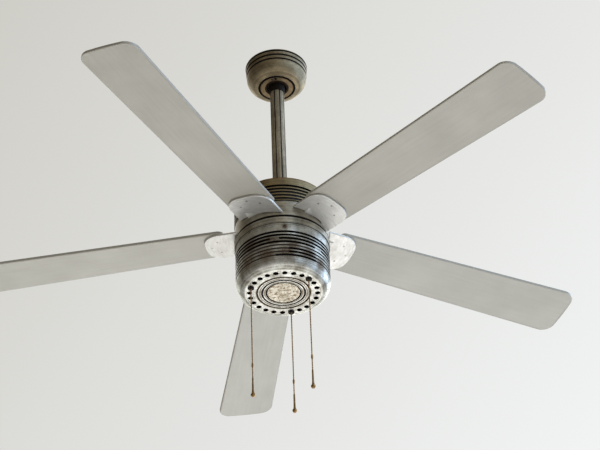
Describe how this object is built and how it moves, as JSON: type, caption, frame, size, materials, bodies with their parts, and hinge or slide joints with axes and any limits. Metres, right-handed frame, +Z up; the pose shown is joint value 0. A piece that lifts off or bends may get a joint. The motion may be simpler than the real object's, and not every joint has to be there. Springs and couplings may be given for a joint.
{
  "type": "ceiling fan",
  "caption": "Ceiling fan on a fluted downrod with a domed canopy, slotted drum housings, broad blade irons, pale flat blades and pull chains that work its switches.",
  "frame": {"origin": "centre of the ceiling plate's upper face, on the fan's vertical axis", "axes": "+Z up to the ceiling, +X along the row of ceiling-box slots"},
  "size_m": [1.2636, 1.2602, 0.841],
  "materials": {
    "zinc_plated_steel": "zinc-plated pressed steel",
    "aged_nickel": "aged satin nickel plate",
    "plain_steel": "plain machined steel",
    "black_nylon": "moulded black nylon",
    "black_cast_iron": "black coated casting",
    "brushed_nickel": "satin nickel plate on die-cast aluminium",
    "lamination_steel": "stacked sheet steel",
    "copper_wire": "enamelled copper",
    "cast_aluminium": "as cast",
    "iron_nickel": "pale satin nickel plate",
    "white_lacquer": "white lacquered board",
    "aged_brass": "dark aged brass"
  },
  "bodies": {
    "ceiling_mount": {"hanger_bracket": "zinc_plated_steel", "canopy": "aged_nickel", "canopy_trim_ring": "aged_nickel", "canopy_screws": "plain_steel"},
    "fan_frame": {"downrod": "aged_nickel", "ball_pin": "plain_steel", "rod_pin": "plain_steel", "yoke_screws": "plain_steel", "upper_housing_screws": "plain_steel", "motor_shaft": "plain_steel", "shaft_spacer": "plain_steel", "shaft_nut": "plain_steel", "housing_screws": "plain_steel", "upper_bearing_inner": "plain_steel", "upper_bearing_balls": "plain_steel", "lower_bearing_inner": "plain_steel", "lower_bearing_balls": "plain_steel", "hanger_ball": "black_nylon", "capacitor": "black_nylon", "pull_switch_right": "black_nylon", "pull_switch_middle": "black_nylon", "pull_switch_left": "black_nylon", "yoke": "black_cast_iron", "upper_housing": "brushed_nickel", "switch_housing": "brushed_nickel", "switch_plate": "brushed_nickel", "centre_cap": "brushed_nickel", "stator_core": "lamination_steel", "stator_windings": "copper_wire", "switch_bushes": "aged_brass", "switch_nuts": "aged_brass"},
    "rotor": {"rotor_ring": "lamination_steel", "upper_bell": "cast_aluminium", "lower_bell": "cast_aluminium", "upper_bearing_outer": "plain_steel", "lower_bearing_outer": "plain_steel", "hub_ring": "brushed_nickel", "iron_screws": "plain_steel", "blade_screws": "plain_steel", "blade_iron_1": "iron_nickel", "blade_iron_2": "iron_nickel", "blade_iron_3": "iron_nickel", "blade_iron_4": "iron_nickel", "blade_iron_5": "iron_nickel", "blade_1": "white_lacquer", "blade_2": "white_lacquer", "blade_3": "white_lacquer", "blade_4": "white_lacquer", "blade_5": "white_lacquer"},
    "pull_right": {"pull_chain_right": "aged_brass", "chain_connector_right": "aged_brass", "pull_fob_right": "aged_brass"},
    "pull_middle": {"pull_chain_middle": "aged_brass", "chain_connector_middle": "aged_brass", "pull_fob_middle": "aged_brass"},
    "pull_left": {"pull_chain_left": "aged_brass", "chain_connector_left": "aged_brass", "pull_fob_left": "aged_brass"}
  },
  "joints": [
    {"name": "hanger_swing", "type": "hinge", "parent": "ceiling_mount", "child": "fan_frame", "pos_m": [0, 0, -0.027], "axis": [1, 0, 0], "range_deg": [-6, 6]},
    {"name": "rotor_spin", "type": "hinge", "parent": "fan_frame", "child": "rotor", "pos_m": [0, 0, -0.45], "axis": [0, 0, 1], "continuous": true},
    {"name": "pull_right_slide", "type": "slide", "parent": "fan_frame", "child": "pull_right", "axis": [0, 0, -1], "range_m": [0, 0.01], "stiffness_N_per_m": 400, "springref_m": -0.004},
    {"name": "pull_middle_slide", "type": "slide", "parent": "fan_frame", "child": "pull_middle", "axis": [0, 0, -1], "range_m": [0, 0.01], "stiffness_N_per_m": 400, "springref_m": -0.004},
    {"name": "pull_left_slide", "type": "slide", "parent": "fan_frame", "child": "pull_left", "axis": [0, 0, -1], "range_m": [0, 0.01], "stiffness_N_per_m": 400, "springref_m": -0.004}
  ]
}
